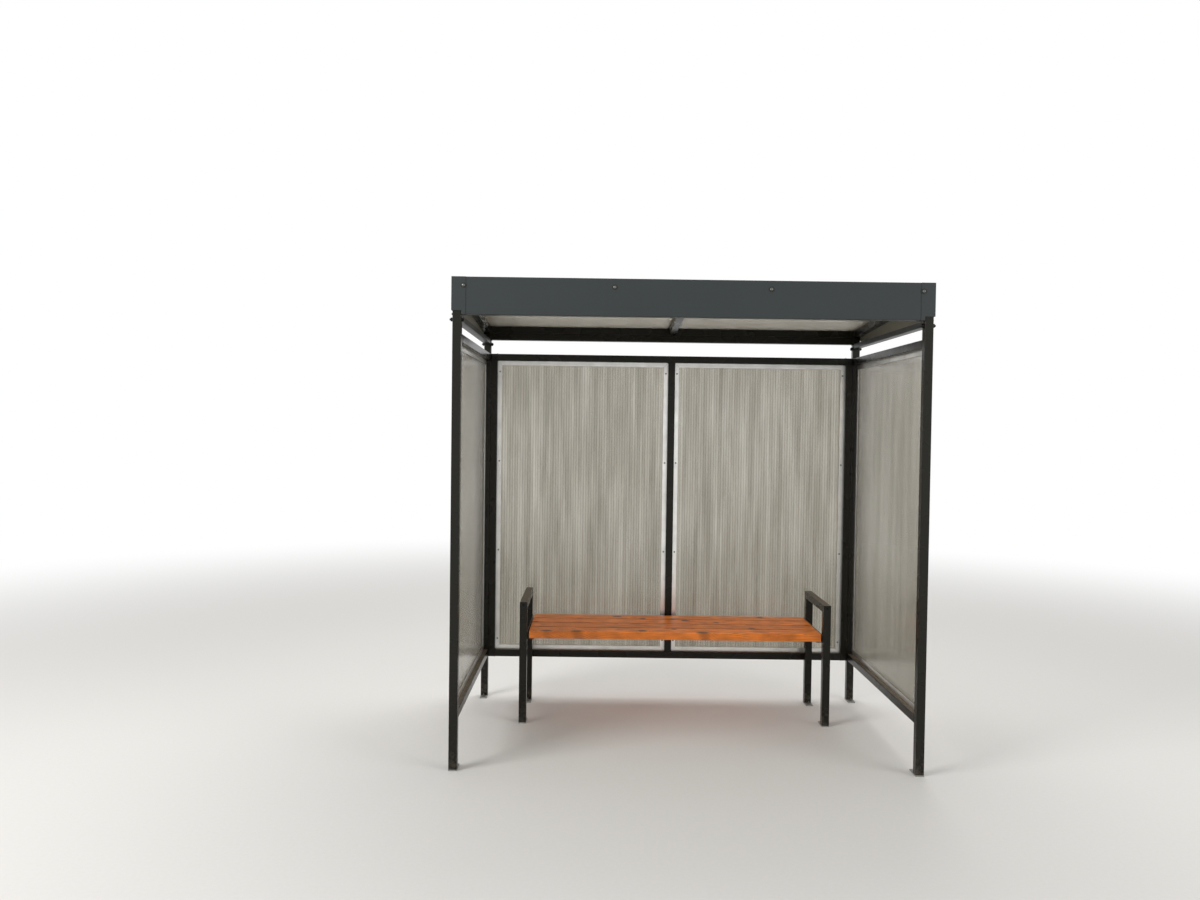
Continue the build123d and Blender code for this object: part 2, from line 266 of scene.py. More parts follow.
def coated_metal(name, colour, finish, gloss, top_dust_and_light, hollow=None):
    """Coat baked onto metal: the shade drifts a little, a fine orange peel breaks up the highlights,
    and dust lies near the ground. On faces turned up, dust and painted light from above lighten the
    coat, as much as top_dust_and_light says. Faces of a folded sheet that look at the middle of its
    hollow show the back coat."""
    material, tree, shader, place = new_material(name, **{"IOR": 1.5, "Specular IOR Level": 0.22})
    # Drift of the shade over some 400 mm, from uneven powder
    drift = add_node(tree, "ShaderNodeTexNoise", {"Vector": place, "Scale": 2.5, "Detail": 3.0})
    # Orange peel: 1.5 mm in the real coat, drawn at 4 mm so that it shows
    peel = add_node(tree, "ShaderNodeTexNoise", {"Vector": place, "Scale": 250.0, "Detail": 2.0})
    coat = add_node(tree, "ShaderNodeMix", {
        0: drift, MIX_A: rgba(colour, 0.92), MIX_B: rgba(colour, 1.08)}, data_type="RGBA")
    height = add_node(tree, "ShaderNodeSeparateXYZ", {"Vector": place}).outputs["Z"]
    # Sand splashed up the legs, thickest in the lowest 10 mm and gone at 140 mm
    low = add_node(tree, "ShaderNodeMapRange", {
        "Value": height, "From Min": 0.14, "From Max": 0.01, "To Min": 0.0, "To Max": 0.45},
        interpolation_type="SMOOTHSTEP")
    patches = add_node(tree, "ShaderNodeTexNoise", {
        "Vector": place, "Scale": 38.0, "Detail": 7.0, "Roughness": 0.68})
    splash = add_node(tree, "ShaderNodeMapRange", {
        "Value": patches, "From Min": 0.46, "From Max": 0.74, "To Min": 0.0, "To Max": 0.7})
    splashed = add_node(tree, "ShaderNodeMath", {0: low, 1: splash}, operation="MULTIPLY")
    facing = add_node(tree, "ShaderNodeNewGeometry").outputs["Normal"]
    if hollow:
        # Both side fascias alike: the left one is read as a mirror image of the right one
        mirror = add_node(tree, "ShaderNodeVectorMath", {0: place}, operation="SIGN")
        for value, operation in (((1, 0, 0), "MULTIPLY"), ((0, 1, 1), "ADD")):
            mirror = add_node(tree, "ShaderNodeVectorMath", {0: mirror, 1: value}, operation=operation)
        right, looks = [
            add_node(tree, "ShaderNodeVectorMath", {0: value, 1: mirror}, operation="MULTIPLY")
            for value in (place, facing)]
        inwards = add_node(tree, "ShaderNodeVectorMath", {0: hollow, 1: right}, operation="SUBTRACT")
        towards = add_node(tree, "ShaderNodeVectorMath", {0: looks, 1: inwards},
                           operation="DOT_PRODUCT")
        inner = add_node(tree, "ShaderNodeMath", {0: towards, 1: 0.0}, operation="GREATER_THAN")
        coat = add_node(tree, "ShaderNodeMix", {
            0: inner, MIX_A: coat, MIX_B: rgba(finish.back_coat)}, data_type="RGBA")
    # Dust, and painted light from above, on faces turned up
    upward = add_node(tree, "ShaderNodeSeparateXYZ", {"Vector": facing}).outputs["Z"]
    ledge = add_node(tree, "ShaderNodeMapRange", {
        "Value": upward, "From Min": 0.8, "From Max": 1.0, "To Min": 0.0, "To Max": top_dust_and_light})
    lying_dust_and_light = add_node(tree, "ShaderNodeMath", {0: ledge, 1: patches}, operation="MULTIPLY")
    # Dust near the ground, and dust with painted light on faces turned up
    dusty = add_node(tree, "ShaderNodeMath", {0: splashed, 1: lying_dust_and_light}, operation="MAXIMUM")
    dusted_and_top_lit = add_node(tree, "ShaderNodeMix", {
        0: dusty, MIX_A: coat, MIX_B: rgba(finish.dust)}, data_type="RGBA")
    # Foot plates, up to 6 mm, scuffed down to their zinc
    plate = add_node(tree, "ShaderNodeMath", {0: height, 1: PLATE + 0.2 * MM}, operation="LESS_THAN")
    scuffed = add_node(tree, "ShaderNodeMix", {
        0: patches, MIX_A: rgba(finish.zinc_edge, 0.7), MIX_B: rgba(finish.zinc_edge, 1.15)},
        data_type="RGBA")
    shown = add_node(tree, "ShaderNodeMix", {
        0: plate, MIX_A: dusted_and_top_lit, MIX_B: scuffed}, data_type="RGBA")
    # Hands and rain leave the gloss uneven, in patches of some 150 mm
    smudge = add_node(tree, "ShaderNodeTexNoise", {"Vector": place, "Scale": 6.5, "Detail": 2.0})
    sheen = add_node(tree, "ShaderNodeMapRange", {
        "Value": smudge, "From Min": 0.3, "From Max": 0.7,
        "To Min": gloss - 0.02, "To Max": gloss + 0.03})
    rough = add_node(tree, "ShaderNodeMath", {0: dusty, 1: 0.5, 2: sheen}, operation="MULTIPLY_ADD")
    bump = add_node(tree, "ShaderNodeBump", {"Height": peel, "Strength": 0.06, "Distance": 0.0003})
    dress(tree, shader, {"Base Color": shown, "Roughness": rough, "Normal": bump})
    return material


def powder_coated_steel(finish):
    """Polyester powder baked onto welded tube: nearly black, with a gloss that mirrors at a slant.
    Its faces turned up are drawn much lighter, with dust and painted light from above."""
    return coated_metal("powder_coated_steel", finish.coat, finish, gloss=0.27, top_dust_and_light=1.3)


def coil_coated_sheet(name, finish, hollow):
    """Steel sheet painted before it is folded: a satin anthracite, a shade lighter than the tubes,
    with a pale lacquer on its inner side. Its faces turned up are drawn only a little lighter, with dust
    and painted light."""
    return coated_metal(name, finish.fascia, finish, gloss=0.4, top_dust_and_light=0.3, hollow=hollow)


def mill_aluminium(name, finish, axis, near, far):
    """Extruded aluminium as it leaves the mill: bright, with die lines along each leg of the channel.
    The legs lie along Z and along an axis, between near and far, and meet in mitres."""
    material, tree, shader, place = new_material(name, Metallic=1.0)
    parts = add_node(tree, "ShaderNodeSeparateXYZ", {"Vector": place})
    along = add_node(tree, "ShaderNodeMath", {0: parts.outputs[axis]}, operation="ABSOLUTE")
    # Distances to the nearer upright leg and to the nearer level leg
    gaps = []
    for value, low, high in ((along, near, far),
                             (parts.outputs["Z"], SIDE_RING_LOW.z, SIDE_RING_HIGH.z)):
        from_low = add_node(tree, "ShaderNodeMath", {0: value, 1: low}, operation="SUBTRACT")
        to_high = add_node(tree, "ShaderNodeMath", {0: high, 1: value}, operation="SUBTRACT")
        gaps.append(add_node(tree, "ShaderNodeMath", {0: from_low, 1: to_high}, operation="MINIMUM"))
    apart = add_node(tree, "ShaderNodeMath", {0: gaps[0], 1: gaps[1]}, operation="SUBTRACT")
    level_leg = add_node(tree, "ShaderNodeMath", {0: apart, 1: 0.0}, operation="GREATER_THAN")
    # Die lines 1.2 mm apart and half a metre long
    lines = []
    for scale in ((800.0, 800.0, 2.0), (2.0, 800.0, 800.0) if axis == "X" else (800.0, 2.0, 800.0)):
        stretched = add_node(tree, "ShaderNodeMapping", {"Vector": place, "Scale": scale})
        lines.append(add_node(tree, "ShaderNodeTexNoise", {
            "Vector": stretched, "Scale": 1.0, "Detail": 3.0, "Roughness": 0.6}))
    die = add_node(tree, "ShaderNodeMix", {0: level_leg, NUMBER_A: lines[0], NUMBER_B: lines[1]},
                   data_type="FLOAT")
    # Dull patches of oxide, some 60 mm across
    oxide = add_node(tree, "ShaderNodeTexNoise", {"Vector": place, "Scale": 16.0, "Detail": 4.0})
    tone = add_node(tree, "ShaderNodeMath", {0: die, 1: oxide}, operation="ADD")
    shade = add_node(tree, "ShaderNodeMapRange", {"Value": tone, "From Min": 0.7, "From Max": 1.3})
    bright = add_node(tree, "ShaderNodeMix", {
        0: shade, MIX_A: rgba(finish.aluminium, 0.84), MIX_B: rgba(finish.aluminium, 1.06)},
        data_type="RGBA")
    # Mitre: a dark line 0.8 mm wide, where both distances are the same
    off_mitre = add_node(tree, "ShaderNodeMath", {0: apart}, operation="ABSOLUTE")
    mitre = add_node(tree, "ShaderNodeMath", {0: off_mitre, 1: 0.4 * MM}, operation="LESS_THAN")
    colour = add_node(tree, "ShaderNodeMix", {
        0: mitre, MIX_A: bright, MIX_B: rgba(finish.aluminium, 0.12)}, data_type="RGBA")
    rough = add_node(tree, "ShaderNodeMapRange", {
        "Value": tone, "From Min": 0.6, "From Max": 1.4, "To Min": 0.42, "To Max": 0.28})
    bump = add_node(tree, "ShaderNodeBump", {"Height": die, "Strength": 0.1, "Distance": 0.0001})
    dress(tree, shader, {"Base Color": colour, "Roughness": rough, "Normal": bump})
    return material


def twin_wall_sheet(name, cell, tint, across, veil_share, uneven, clear):
    """Extruded twin-wall polycarbonate: two clear skins joined by webs, which show as fine lines. What
    lies behind is blurred and drawn out along the cells, and the skins bow a little between the webs."""
    material, tree, shader, place = new_material(name, **{
        "IOR": 1.585, "Transmission Weight": clear, "Specular IOR Level": 0.5})
    parts = add_node(tree, "ShaderNodeSeparateXYZ", {"Vector": place})
    cells = add_node(tree, "ShaderNodeMath", {0: parts.outputs[across], 1: cell}, operation="DIVIDE")
    # 0 on a web and 0.5 in the middle of a cell
    from_web = add_node(tree, "ShaderNodeMath", {0: cells, 1: 0.5}, operation="PINGPONG")
    # Webs are 0.5 mm thick and 10 mm apart. They are drawn 15 mm apart and, at half their strength,
    # 4 mm wide, so that they show
    web = add_node(tree, "ShaderNodeMapRange", {
        "Value": from_web, "From Min": 0.04, "From Max": 0.22, "To Min": 1.0, "To Max": 0.0},
        interpolation_type="SMOOTHSTEP")
    # Each cell holds back its own share of the light
    number = add_node(tree, "ShaderNodeMath", {0: cells}, operation="FLOOR")
    own = add_node(tree, "ShaderNodeTexWhiteNoise", {"W": number}, noise_dimensions="1D")
    # Streaks some 45 mm wide and 700 mm long
    scale = (22.0, 1.4, 1.4) if across == "X" else (1.4, 22.0, 1.4)
    stretched = add_node(tree, "ShaderNodeMapping", {"Vector": place, "Scale": scale})
    streak = add_node(tree, "ShaderNodeTexNoise", {
        "Vector": stretched, "Scale": 1.0, "Detail": 5.0, "Roughness": 0.6})
    streak = add_node(tree, "ShaderNodeMapRange", {"Value": streak, "From Min": 0.32, "From Max": 0.68})
    # Broad clouds of haze, some 600 mm across
    cloud = add_node(tree, "ShaderNodeTexNoise", {"Vector": place, "Scale": 1.6, "Detail": 3.0})
    veil = add_node(tree, "ShaderNodeMath", {0: web, 1: 0.13, 2: veil_share - 0.32 * uneven},
                    operation="MULTIPLY_ADD")
    for part, share in ((own, 0.08), (streak, 0.26), (cloud, 0.3)):
        veil = add_node(tree, "ShaderNodeMath", {0: part, 1: share * uneven, 2: veil},
                        operation="MULTIPLY_ADD", use_clamp=True)
    # Shade from 0 to 1: darker on a web and where more light is held back
    shade = add_node(tree, "ShaderNodeMath", {0: own, 1: 0.35, 2: streak}, operation="MULTIPLY_ADD")
    shade = add_node(tree, "ShaderNodeMath", {0: shade, 1: -0.5 * uneven, 2: 0.5 + 0.34 * uneven},
                     operation="MULTIPLY_ADD")
    shade = add_node(tree, "ShaderNodeMath", {0: web, 1: -0.2, 2: shade}, operation="MULTIPLY_ADD")
    colour = add_node(tree, "ShaderNodeMix", {
        0: shade, MIX_A: rgba(tint, 0.62), MIX_B: rgba(tint, 1.38)}, data_type="RGBA")
    rough = add_node(tree, "ShaderNodeMapRange", {"Value": cloud, "To Min": 0.16, "To Max": 0.28})
    bump = add_node(tree, "ShaderNodeBump", {"Height": from_web, "Strength": 0.12, "Distance": 0.0003})
    dress(tree, shader, {"Base Color": colour, "Alpha": veil, "Roughness": rough, "Normal": bump})
    return material


def stained_pine(finish, low, high, step):
    """Planed pine under an orange brown stain: arched rings on the faces and straight ones on the
    edges, bent round dark knots, each plank a little lighter or redder than the next, the stain
    pooled in the end grain, painted shade beside the gaps and a painted sheen on the level faces."""
    material, tree, shader, place = new_material("stained_pine", **{
        "IOR": 1.5, "Specular IOR Level": 0.4})
    parts = add_node(tree, "ShaderNodeSeparateXYZ", {"Vector": place})
    # Number of the plank, counted from the front, from the middle of one gap to the next
    gap = step - (high.y - low.y)
    offset = add_node(tree, "ShaderNodeMath", {0: parts.outputs["Y"], 1: low.y - gap / 2},
                      operation="SUBTRACT")
    counted = add_node(tree, "ShaderNodeMath", {0: offset, 1: step}, operation="DIVIDE")
    plank = add_node(tree, "ShaderNodeMath", {0: counted}, operation="FLOOR")
    own = add_node(tree, "ShaderNodeTexWhiteNoise", {"W": plank}, noise_dimensions="1D")
    own_shift = add_node(tree, "ShaderNodeVectorMath", {0: own.outputs["Color"], 1: (3.0, 0.12, 0.05)},
                         operation="MULTIPLY")
    shifted = add_node(tree, "ShaderNodeVectorMath", {0: place, 1: own_shift}, operation="ADD")
    # Knots: branches that lean a little as they run up through a plank, one in each 160 by 110 mm, of
    # which a third are left in; longer along the grain than across it
    leaning = add_node(tree, "ShaderNodeMapping", {
        "Vector": shifted, "Rotation": (0.0, 0.35, 0.0), "Scale": (6.2, 9.0, 6.2)})
    knots = add_node(tree, "ShaderNodeTexVoronoi", {"Vector": leaning, "Scale": 1.0},
                     voronoi_dimensions="2D", feature="F1")
    chance = add_node(tree, "ShaderNodeSeparateXYZ", {"Vector": knots.outputs["Color"]})
    missing = add_node(tree, "ShaderNodeMath", {0: chance.outputs["X"], 1: 0.34},
                       operation="GREATER_THAN")
    spacing = add_node(tree, "ShaderNodeMapRange", {
        "Value": chance.outputs["Y"], "To Min": 0.06, "To Max": 0.14})
    reach = add_node(tree, "ShaderNodeMath", {0: knots.outputs["Distance"], 1: spacing},
                     operation="MULTIPLY")
    reach = add_node(tree, "ShaderNodeMath", {0: missing, 1: 0.1, 2: reach}, operation="MULTIPLY_ADD")
    bend = add_node(tree, "ShaderNodeMapRange", {
        "Value": reach, "From Min": 0.0, "From Max": 0.04, "To Min": 0.02, "To Max": 0.0},
        interpolation_type="SMOOTHERSTEP")
    # Three patterns along the grain: its wander over some 400 mm, fibres 1 mm wide and 100 mm long,
    # and patches that took more stain than others, some 90 mm long and 40 mm wide
    patterns = []
    for scale, detail in (((2.4, 9.0, 9.0), 2.0), ((10.0, 900.0, 900.0), 4.0),
                          ((11.0, 22.0, 22.0), 5.0)):
        stretched = add_node(tree, "ShaderNodeMapping", {"Vector": shifted, "Scale": scale})
        patterns.append(add_node(tree, "ShaderNodeTexNoise", {
            "Vector": stretched, "Scale": 1.0, "Detail": detail}))
    wander, fibre, uptake = patterns
    # Distance from the pith, which lies below each plank and a little to one side
    in_plank = add_node(tree, "ShaderNodeMath", {0: counted}, operation="FRACT")
    from_pith = add_node(tree, "ShaderNodeMath", {0: own, 1: 0.4, 2: in_plank},
                         operation="MULTIPLY_ADD")
    from_pith = add_node(tree, "ShaderNodeMath", {0: from_pith, 1: 0.7}, operation="SUBTRACT")
    from_pith = add_node(tree, "ShaderNodeMath", {0: from_pith, 1: step}, operation="MULTIPLY")
    above_pith = add_node(tree, "ShaderNodeMath", {0: parts.outputs["Z"], 1: low.z - PITH_DEPTH},
                          operation="SUBTRACT")
    pith = add_node(tree, "ShaderNodeCombineXYZ", {"Y": from_pith, "Z": above_pith})
    radius = add_node(tree, "ShaderNodeVectorMath", {0: pith}, operation="LENGTH")
    radius = add_node(tree, "ShaderNodeMath", {0: wander, 1: 0.045, 2: radius},
                      operation="MULTIPLY_ADD")
    radius = add_node(tree, "ShaderNodeMath", {0: radius, 1: bend}, operation="ADD")
    # Rings 3 mm wide in the wood, drawn at 6 mm so that they show
    ring = add_node(tree, "ShaderNodeMath", {0: radius, 1: RING_WIDTH}, operation="DIVIDE")
    ring = add_node(tree, "ShaderNodeMath", {0: ring}, operation="FRACT")
    late = add_node(tree, "ShaderNodeMapRange", {"Value": ring, "From Min": 0.35, "From Max": 0.92},
                    interpolation_type="SMOOTHSTEP")
    taken = add_node(tree, "ShaderNodeMapRange", {"Value": uptake, "From Min": 0.3, "From Max": 0.7})
    light = add_node(tree, "ShaderNodeMix", {
        0: taken, MIX_A: rgba(finish.stain, 0.66), MIX_B: rgba(finish.stain, 1.3)}, data_type="RGBA")
    share = add_node(tree, "ShaderNodeMath", {0: fibre, 1: 0.7, 2: 0.3}, operation="MULTIPLY_ADD")
    share = add_node(tree, "ShaderNodeMath", {0: share, 1: late}, operation="MULTIPLY", use_clamp=True)
    grained = add_node(tree, "ShaderNodeMix", {
        0: share, MIX_A: light, MIX_B: rgba(finish.stain_dark)}, data_type="RGBA")
    core = add_node(tree, "ShaderNodeMapRange", {
        "Value": reach, "From Min": 0.006, "From Max": 0.017, "To Min": 0.88, "To Max": 0.0},
        interpolation_type="SMOOTHSTEP")
    # On the edges of the planks the stain covers the knots more
    facing = add_node(tree, "ShaderNodeNewGeometry").outputs["Normal"]
    level_face = add_node(tree, "ShaderNodeSeparateXYZ", {"Vector": facing}).outputs["Z"]
    level_face = add_node(tree, "ShaderNodeMath", {0: level_face}, operation="ABSOLUTE")
    strength = add_node(tree, "ShaderNodeMapRange", {"Value": level_face, "To Min": 0.42, "To Max": 1.0})
    core = add_node(tree, "ShaderNodeMath", {0: core, 1: strength}, operation="MULTIPLY")
    knotted = add_node(tree, "ShaderNodeMix", {
        0: core, MIX_A: grained, MIX_B: rgba(finish.knot)}, data_type="RGBA")
    # Painted shade on the rounded edges beside the gaps, so that the gaps read as dark lines; not on the
    # front of the first plank
    from_gap = add_node(tree, "ShaderNodeMath", {0: counted, 1: 0.5}, operation="PINGPONG")
    edge = add_node(tree, "ShaderNodeMapRange", {
        "Value": from_gap, "From Min": (gap / 2 + 0.5 * MM) / step,
        "From Max": (gap / 2 + 3.5 * MM) / step, "To Min": 0.7, "To Max": 0.0})
    behind = add_node(tree, "ShaderNodeMath", {0: counted, 1: 0.5}, operation="GREATER_THAN")
    edge = add_node(tree, "ShaderNodeMath", {0: edge, 1: behind}, operation="MULTIPLY")
    # End grain drinks the most
    along = add_node(tree, "ShaderNodeMath", {0: parts.outputs["X"]}, operation="ABSOLUTE")
    end = add_node(tree, "ShaderNodeMath", {0: along, 1: high.x - 0.3 * MM}, operation="GREATER_THAN")
    end_grain_and_gap_shade = add_node(tree, "ShaderNodeMath", {0: end, 1: 0.6}, operation="MULTIPLY")
    end_grain_and_gap_shade = add_node(tree, "ShaderNodeMath", {0: end_grain_and_gap_shade, 1: edge}, operation="MAXIMUM")
    # Darker in the end grain, and painted shade beside the gaps
    stained = add_node(tree, "ShaderNodeMix", {
        0: end_grain_and_gap_shade, MIX_A: knotted, MIX_B: rgba(finish.stain_dark, 0.4)}, data_type="RGBA")
    # Planks differ a little in tone, and their level faces, upper and lower, are drawn up to a third
    # lighter: a painted sheen
    level = add_node(tree, "ShaderNodeMapRange", {"Value": own, "To Min": 0.88, "To Max": 1.1})
    painted_sheen = add_node(tree, "ShaderNodeMapRange", {"Value": level_face, "To Min": 1.0, "To Max": 1.34})
    level = add_node(tree, "ShaderNodeMath", {0: level, 1: painted_sheen}, operation="MULTIPLY")
    colour = add_node(tree, "ShaderNodeVectorMath", {0: stained, "Scale": level}, operation="SCALE")
    rough = add_node(tree, "ShaderNodeMapRange", {"Value": fibre, "To Min": 0.3, "To Max": 0.52})
    relief = add_node(tree, "ShaderNodeMath", {0: fibre, 1: late}, operation="ADD")
    bump = add_node(tree, "ShaderNodeBump", {"Height": relief, "Strength": 0.25, "Distance": 0.0004})
    dress(tree, shader, {"Base Color": colour, "Roughness": rough, "Normal": bump})
    return material


def plated_steel(name, plate):
    """Cold-formed steel with a plating of zinc, bright, or darkened as painted shade: clear
    reflections, with soft clouds from the passivation."""
    material, tree, shader, place = new_material(name, Metallic=1.0)
    # Clouds some 5 mm across
    cloud = add_node(tree, "ShaderNodeTexNoise", {"Vector": place, "Scale": 190.0, "Detail": 3.0})
    warm = (plate[0] * 1.02, plate[1] * 0.97, plate[2] * 0.86, 1.0)
    colour = add_node(tree, "ShaderNodeMix", {
        0: cloud, MIX_A: rgba(plate, 0.8), MIX_B: warm}, data_type="RGBA")
    rough = add_node(tree, "ShaderNodeMapRange", {"Value": cloud, "To Min": 0.2, "To Max": 0.4})
    bump = add_node(tree, "ShaderNodeBump", {"Height": cloud, "Strength": 0.1, "Distance": 0.0003})
    dress(tree, shader, {"Base Color": colour, "Roughness": rough, "Normal": bump})
    return material


def epdm_rubber():
    """Moulded EPDM of the sealing washers and plugs: black, dull, a little grey where it has
    weathered."""
    material, tree, shader, place = new_material("epdm_rubber", Roughness=0.75)
    # Bloom in specks some 3 mm across
    bloom = add_node(tree, "ShaderNodeTexNoise", {"Vector": place, "Scale": 300.0, "Detail": 3.0})
    colour = add_node(tree, "ShaderNodeMix", {
        0: bloom, MIX_A: rgba(linear("#151515")), MIX_B: rgba(linear("#2E2E2D"))}, data_type="RGBA")
    bump = add_node(tree, "ShaderNodeBump", {"Height": bloom, "Strength": 0.2, "Distance": 0.0002})
    dress(tree, shader, {"Base Color": colour, "Normal": bump})
    return material


def seen_directly(tree):
    """1 where the camera looks, also in a reflection or through a sheet, and 0 for other light."""
    path = add_node(tree, "ShaderNodeLightPath")
    seen = path.outputs["Is Camera Ray"]
    for ray in ("Is Glossy Ray", "Is Transmission Ray"):
        seen = add_node(tree, "ShaderNodeMath", {0: seen, 1: path.outputs[ray]}, operation="MAXIMUM")
    return seen


def studio_floor(stage):
    """Matt painted floor: keeps the shadow near the shelter and runs out to white."""
    material, tree, shader, place = new_material("matt_painted_floor", Roughness=0.9)
    # Grain of the roller, some 17 mm across
    grain = add_node(tree, "ShaderNodeTexNoise", {"Vector": place, "Scale": 60.0, "Detail": 4.0})
    colour = add_node(tree, "ShaderNodeMix", {
        0: grain, MIX_A: rgba(stage.floor, 0.97), MIX_B: rgba(stage.floor, 1.03)}, data_type="RGBA")
    dress(tree, shader, {"Base Color": colour})
    reach = add_node(tree, "ShaderNodeVectorMath", {0: place}, operation="LENGTH")
    far = add_node(tree, "ShaderNodeMapRange", {
        "Value": reach, "From Min": FADE_START, "From Max": FADE_END}, interpolation_type="SMOOTHSTEP")
    share = add_node(tree, "ShaderNodeMath", {0: far, 1: seen_directly(tree)}, operation="MULTIPLY")
    white = add_node(tree, "ShaderNodeEmission", {"Color": (1, 1, 1, 1), "Strength": 1.0})
    blend = add_node(tree, "ShaderNodeMixShader", {0: share, 1: shader, 2: white})
    output = next(node for node in tree.nodes if node.type == "OUTPUT_MATERIAL")
    tree.links.new(result(blend), output.inputs["Surface"])
    return material


def finish_of(name, make, *details):
    """The material of that name, made when it is first asked for."""
    return bpy.data.materials.get(name) or make(*details)


def bright_zinc(finish):
    """Zinc of the bolts, anchors, rivets and screws."""
    return finish_of("zinc_plated_steel", plated_steel, "zinc_plated_steel", finish.zinc)


def black_zinc(finish):
    """Zinc of what goes through the posts, darkened as painted shade."""
    name = "black_zinc_plated_steel"
    return finish_of(name, plated_steel, name, finish.black_zinc)


def coat_nodes(names, material):
    """Give CAD nodes a material in each of their slots."""
    for name in names:
        node = NODES[name]
        if not node.material_slots:
            node.data.materials.append(material)
        for slot in node.material_slots:
            slot.material = material


def spun(outline, steps=24):
    """Shape turned round Z from points of radius and height in millimetres."""
    shape = bmesh.new()
    points = [shape.verts.new((radius * MM, 0, height * MM)) for radius, height in outline]
    edges = [shape.edges.new(pair) for pair in zip(points, points[1:])]
    bmesh.ops.spin(shape, geom=points + edges, cent=(0, 0, 0), axis=(0, 0, 1), angle=2 * pi,
                   steps=steps, use_merge=True)
    bmesh.ops.remove_doubles(shape, verts=shape.verts, dist=0.001 * MM)
    bmesh.ops.recalc_face_normals(shape, faces=shape.faces)
    return shape


def hexagon(across, low, high, chamfer=0.8):
    """Hexagon bar from low to high, in millimetres, with its upper edges chamfered."""
    shape = bmesh.new()
    bmesh.ops.create_circle(shape, cap_ends=True, segments=6, radius=across / 2 / cos(pi / 6) * MM)
    bmesh.ops.translate(shape, verts=shape.verts, vec=(0, 0, low * MM))
    grown = bmesh.ops.extrude_face_region(shape, geom=shape.faces[:])["geom"]
    upper = [item for item in grown if isinstance(item, bmesh.types.BMVert)]
    bmesh.ops.translate(shape, verts=upper, vec=(0, 0, (high - low) * MM))
    rim = [edge for edge in shape.edges if all(vert in upper for vert in edge.verts)]
    bmesh.ops.bevel(shape, geom=rim, offset=chamfer * MM, affect="EDGES", segments=2, profile=0.5,
                    material=-1)
    bmesh.ops.recalc_face_normals(shape, faces=shape.faces)
    return shape


def as_pattern(shape):
    """Mesh of a shape, to be copied to many places."""
    pattern = bpy.data.meshes.new("pattern")
    shape.to_mesh(pattern)
    shape.free()
    return pattern


def together(*shapes):
    """One pattern of several shapes."""
    joined = bmesh.new()
    for shape in shapes:
        part = as_pattern(shape)
        joined.from_mesh(part)
        bpy.data.meshes.remove(part)
    return as_pattern(joined)


def bead_mesh(length, radius):
    """Pattern of a weld bead along Z about the middle, rippled every 2 mm and thinner at its ends."""
    start, ripple, end = 0.8, 0.86, 0.7
    shape = bmesh.new()
    bmesh.ops.create_circle(shape, cap_ends=True, segments=10, radius=radius * start)
    bmesh.ops.translate(shape, verts=shape.verts, vec=(0, 0, -length / 2))
    face = shape.faces[:]
    steps = ceil(length / (1 * MM))
    for step in range(steps):
        grown = bmesh.ops.extrude_face_region(shape, geom=face)["geom"]
        if step:
            bmesh.ops.delete(shape, geom=face, context="FACES_KEEP_BOUNDARY")
        face = [item for item in grown if isinstance(item, bmesh.types.BMFace)][-1:]
        ring = face[0].verts[:]
        height = -length / 2 + length * (step + 1) / steps
        size = 1.0 if step % 2 == 0 else ripple
        if step == steps - 1:
            size = end
        middle = face[0].calc_center_median()
        bmesh.ops.translate(shape, verts=ring, vec=(0, 0, height - middle.z))
        grow = radius * size / ring[0].co.xy.length
        bmesh.ops.scale(shape, verts=ring, vec=(grow, grow, 1))
    bmesh.ops.recalc_face_normals(shape, faces=shape.faces)
    return as_pattern(shape)


def spread(target, pattern, places):
    """Copy a pattern to each place, which is a matrix."""
    for place in places:
        first = len(target.verts)
        target.from_mesh(pattern)
        target.verts.ensure_lookup_table()
        bmesh.ops.transform(target, matrix=place, verts=target.verts[first:])


def looking(point, direction, turn=0.0):
    """Place at a point with its Z along a direction, turned round it."""
    aim = Vector(direction).to_track_quat("Z", "Y").to_matrix().to_4x4()
    return Matrix.Translation(point) @ aim @ Matrix.Rotation(turn, 4, "Z")


def add_piece(name, shape, material):
    """Make a shape an object that rides on the shelter."""
    bmesh.ops.recalc_face_normals(shape, faces=shape.faces)
    mesh = bpy.data.meshes.new(name)
    shape.to_mesh(mesh)
    shape.free()
    mesh.materials.append(material)
    mesh.shade_smooth()
    mesh.set_sharp_from_angle(angle=SHARP_ANGLE)
    piece = bpy.data.objects.new(name, mesh)
    bpy.context.scene.collection.objects.link(piece)
    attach(piece, BODY)
    return piece


def add_fasteners(name, pattern, places, material):
    """Copies of one fastener as one piece."""
    shape = bmesh.new()
    spread(shape, pattern, places)
    bpy.data.meshes.remove(pattern)
    return add_piece(name, shape, material)


def add_rubber(name, pattern, places):
    """Copies of one rubber part as one piece."""
    return add_fasteners(name, pattern, places, finish_of("epdm_rubber", epdm_rubber))


def washer(radius):
    """Plain washer with its outer edge broken."""
    return spun([(0, 0), (radius, 0), (radius, 1.2), (radius - 0.4, WASHER), (0, WASHER)])


def domed_head(head):
    """Button head with its socket, seated on a washer."""
    r = head / 2 / MM
    return spun([(0, WASHER), (r, WASHER), (r, 2.3), (r * 0.93, 3.7), (r * 0.78, 4.9), (r * 0.57, 5.8),
                 (r * 0.4, 6.2), (r * 0.37, 6.1), (r * 0.37, 3.4), (0, 3.0)])


def stud_nut(across, wide, proud):
    """Washer of a given width, nut and the threaded end of a stud that stands proud of it."""
    flats = across / MM
    stud = flats * 0.29
    top = WASHER + flats * 0.47
    thread = [(0, top - 1)]
    for turn in range(max(1, int(proud / THREAD_PITCH))):
        level = top + turn * THREAD_PITCH
        thread += [(stud - 0.65, level), (stud, level + 0.45), (stud, level + 0.75)]
    thread += [(stud - 0.8, level + 1.3), (0, level + 1.3)]
    return together(washer(wide / 2), hexagon(flats, WASHER, top), spun(thread, 16))


